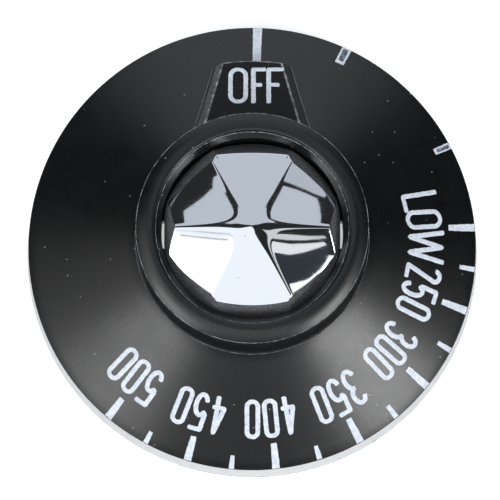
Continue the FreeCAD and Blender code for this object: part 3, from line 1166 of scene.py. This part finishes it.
def sky_card(name, outline, height, strength, tint="#ffffff"):
    """Level card above the knob; its outline is given per unit of height, x to the right and y to OFF."""
    made = mesh_object(name, [(x * height, y * height, height) for x, y in outline], [range(len(outline))])
    made.data.materials.append(new_material(name + "_cloth", lit_cloth, tint, strength))
    made.visible_camera = False


def standing_cloth(name, x, half_length, height):
    """Upright black cloth beside the knob, out of the picture, which darkens that side's sheen."""
    made = mesh_object(name, [(x, -half_length, 0), (x, half_length, 0), (x, half_length, height),
                              (x, -half_length, height)], [(0, 1, 2, 3)])
    made.data.materials.append(new_material(name + "_cloth", black_cloth))
    made.visible_camera = False


floor_plane()
sky_card("rear_roof", [
    (0, 0.15), (-0.15, 0.18), (-0.28, 0.22), (-0.37, 0.28), (-0.40, 0.38), (-0.36, 0.45), (-0.30, 0.47),
    (-0.33, 0.495), (-0.42, 0.49), (-0.6, 0.45), (-0.72, 0.42), (-0.72, 0.34), (-0.93, 0.32), (-0.91, 0.41),
    (-0.80, 0.5), (-0.74, 0.69), (-0.71, 0.87), (-0.69, 1.04), (-0.60, 1.13), (-0.50, 1.25), (-0.62, 1.5),
    (0.62, 1.5), (0.50, 1.25), (0.62, 1.13), (0.73, 0.98), (0.80, 0.87), (0.805, 0.60), (0.80, 0.40),
    (0.6, 0.45), (0.42, 0.49), (0.33, 0.495), (0.30, 0.47), (0.36, 0.45), (0.40, 0.38), (0.37, 0.28),
    (0.28, 0.22), (0.15, 0.18)], card_height, 0.9, sky_tint)
sky_card("far_roof", [(-1.35, 1.5), (1.35, 1.5), (2.2, 7), (-2.2, 7)], card_height, 1.25, sky_tint)
sky_card("right_side", [
    (0.85, 0.30), (0.84, 0.6), (0.835, 0.80), (0.85, 0.97), (0.95, 0.95), (1.13, 0.5), (1.13, 0.22),
    (0.9, 0.26)], card_height, 0.8, sky_tint)
sky_card("right_haze", [
    (0.60, 0.1), (0.98, 0.12), (0.92, -0.12), (0.82, -0.33), (0.72, -0.48), (0.61, -0.58),
    (0.66, -0.3)], haze_height, 0.1, "#b4c2d2")
sky_card("front_cloth", [
    (-0.06, 0.10), (-0.45, 0.10), (-0.5, -0.3), (-0.5, -1.2), (0.6, -1.2), (0.56, -0.9), (0.51, -0.68),
    (0.38, -0.48), (0.22, -0.28), (0.06, 0.02)], card_height, 1.42, "#f6f9fd")
sky_card("left_cloth", [
    (-0.45, 0.10), (-0.7, 0.14), (-0.85, 0.18), (-1.2, 0.24), (-1.1, -0.98), (-0.5, -0.98),
    (-0.5, -0.3)], card_height, 1.6)
sky_card("front_fold_a", [
    (-0.50, -0.15), (-0.515, -0.15), (-0.525, -0.6), (-0.51, -0.6)], fold_height, 0.7)
sky_card("front_fold_b", [
    (-0.455, -0.12), (-0.465, -0.12), (-0.475, -0.58), (-0.465, -0.58)], fold_height, 0.7)
sky_card("front_strip_a", [
    (0.25, 0.05), (0.46, -0.18), (0.48, -0.31), (0.51, -0.45), (0.53, -0.6), (0.55, -0.6), (0.54, -0.38),
    (0.52, -0.23), (0.5, -0.14), (0.4, -0.02)], card_height, 0.9)
sky_card("front_strip_b", [
    (0.5, -0.05), (0.53, -0.14), (0.555, -0.23), (0.57, -0.38), (0.58, -0.55), (0.61, -0.55), (0.64, -0.31),
    (0.65, -0.15), (0.62, -0.05), (0.56, -0.01)], card_height, 1.15)
sky_card("right_edge", [
    (0.71, -0.5), (0.75, -0.44), (0.82, -0.33), (0.92, -0.12), (0.98, 0.17), (1.1, 0.17), (1.1, -0.15),
    (1.0, -0.4), (0.75, -0.68)], card_height, 1.6)
sky_card("right_lamp", [
    (0.75, -0.6), (1.0, -0.42), (1.25, -0.5), (1.25, -0.9), (0.95, -1.15), (0.6, -1.0)], lamp_height, 15.0)
sky_card("left_lamp", [
    (-0.65, -0.55), (-1.0, -0.35), (-1.35, -0.45), (-1.35, -0.9), (-1.0, -1.15),
    (-0.58, -1.0)], lamp_height, 7.0)
sky_card("left_glow", [(-1.15, 0.2), (-1.6, 0.4), (-1.7, -0.5), (-1.3, -0.5), (-1.1, -0.4)], card_height, 1.3)
sky_card("right_glow", [(1.25, 0.0), (1.5, 0.0), (1.55, -0.5), (1.25, -0.5)], card_height, 1.3)
standing_cloth("right_cloth", x=250, half_length=300, height=140)

room_light = (0.03, 0.03, 0.031, 1)
world = bpy.data.worlds.new("studio")
bpy.context.scene.world = world
world.use_nodes = True
world.node_tree.nodes["Background"].inputs["Color"].default_value = room_light
bpy.context.scene.view_settings.view_transform = "Standard"

camera_elevation = radians(81.3)
camera_distance = 540.0
aim = Vector((-0.30, 0.495, 0))
camera_data = bpy.data.cameras.new("camera")
camera_data.sensor_width = 36.0
camera_data.lens = 275.0
camera_data.clip_end = 50.0
camera = bpy.data.objects.new("camera", camera_data)
bpy.context.scene.collection.objects.link(camera)
towards = Vector((0, -cos(camera_elevation), sin(camera_elevation)))
camera.location = (aim + towards * camera_distance) * MM
camera.rotation_euler = towards.to_track_quat("Z", "Y").to_euler()
bpy.context.scene.camera = camera
